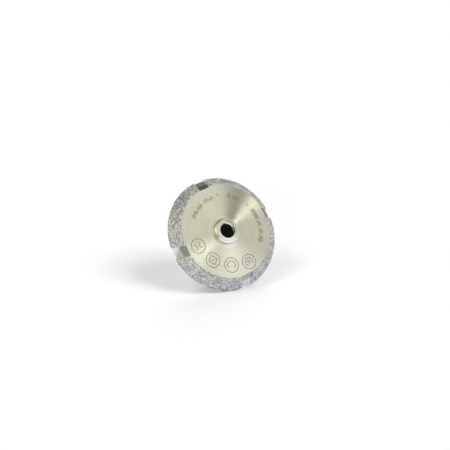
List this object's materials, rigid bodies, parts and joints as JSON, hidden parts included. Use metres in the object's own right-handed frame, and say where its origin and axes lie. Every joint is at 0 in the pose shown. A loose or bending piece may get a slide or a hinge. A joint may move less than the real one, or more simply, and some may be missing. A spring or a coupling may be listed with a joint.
{
  "type": "diamond grinding wheel",
  "caption": "Bevelled steel grinding wheel with a coarse brazed diamond rim broken by slots, and a threaded hub that screws onto a grinder spindle.",
  "frame": {"origin": "centre of the hub's seating face, which is also the centre of the part's base", "axes": "+Z along the wheel's axis, from the seating face towards the front face; +X through the middle of one slot, halfway down the bevel"},
  "size_m": [0.0998, 0.0998, 0.0265],
  "materials": {
    "disc_steel": "fine turned steel with a slight warm cast, engraved marks on the front face",
    "hub_steel": "turned steel, dark inside the thread",
    "diamond_coat": "coarse diamond grit standing out of grey nickel braze, with bright sparkles"
  },
  "bodies": {
    "root": {"steel_disc": "disc_steel", "threaded_hub": "hub_steel", "diamond_coat_1": "diamond_coat", "diamond_coat_2": "diamond_coat", "diamond_coat_3": "diamond_coat", "diamond_coat_4": "diamond_coat"}
  },
  "joints": []
}
